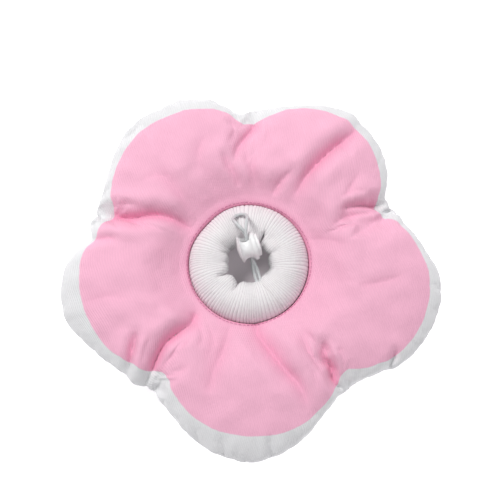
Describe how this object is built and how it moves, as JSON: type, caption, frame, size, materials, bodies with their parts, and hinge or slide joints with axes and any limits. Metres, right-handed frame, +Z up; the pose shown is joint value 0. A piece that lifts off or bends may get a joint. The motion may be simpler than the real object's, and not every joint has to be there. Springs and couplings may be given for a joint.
{
  "type": "elizabethan collar",
  "caption": "Soft padded flower-shaped recovery collar with a gathered rib-knit neck cuff, an elastic drawcord and a sliding spring cord lock.",
  "frame": {"origin": "on the neck hole's axis, in the plane that the collar lies on", "axes": "+Z points up from the back panel to the face panel along the neck hole, -Y to the middle of the lowest petal, +X to the right seen from above"},
  "size_m": [0.2817, 0.2717, 0.0574],
  "materials": {
    "face_cloth": "matte peach-skin polyester, pink flower printed on white",
    "back_cloth": "matte peach-skin polyester, white",
    "fibre": "loose polyester fibre",
    "rib_knit": "matte two-layer rib knit",
    "mauve_thread": "spun polyester thread",
    "white_thread": "spun polyester thread",
    "cord": "round elastic cord with a smooth braided cover",
    "lock_plastic": "satin white moulded plastic",
    "spring_steel": "plain spring wire"
  },
  "bodies": {
    "collar": {"face_panel": "face_cloth", "back_panel": "back_cloth", "fibre_fill": "fibre", "neck_cuff": "rib_knit", "neck_topstitch": "mauve_thread", "rim_seam_thread": "white_thread", "cuff_seam_thread": "white_thread", "drawcord_in_casing": "cord"},
    "loop": {"drawcord_loop": "cord"},
    "lock": {"lock_housing": "lock_plastic", "lock_spring": "spring_steel"},
    "plunger": {"lock_plunger": "lock_plastic"}
  },
  "joints": [
    {"name": "loop_swing", "type": "hinge", "parent": "collar", "child": "loop", "pos_m": [0.00675, -0.01168, 0.03374], "axis": [0.9563, 0.2924, 0], "range_deg": [0, 60]},
    {"name": "lock_slide", "type": "slide", "parent": "loop", "child": "lock", "axis": [-0.224, 0.7326, 0.6428], "range_m": [-0.003, 0.003]},
    {"name": "plunger_press", "type": "slide", "parent": "lock", "child": "plunger", "axis": [-0.9563, -0.2924, 0], "range_m": [0, 0.0024], "stiffness_N_per_m": 1200, "springref_m": -0.001, "deforming": ["lock_spring"]}
  ]
}
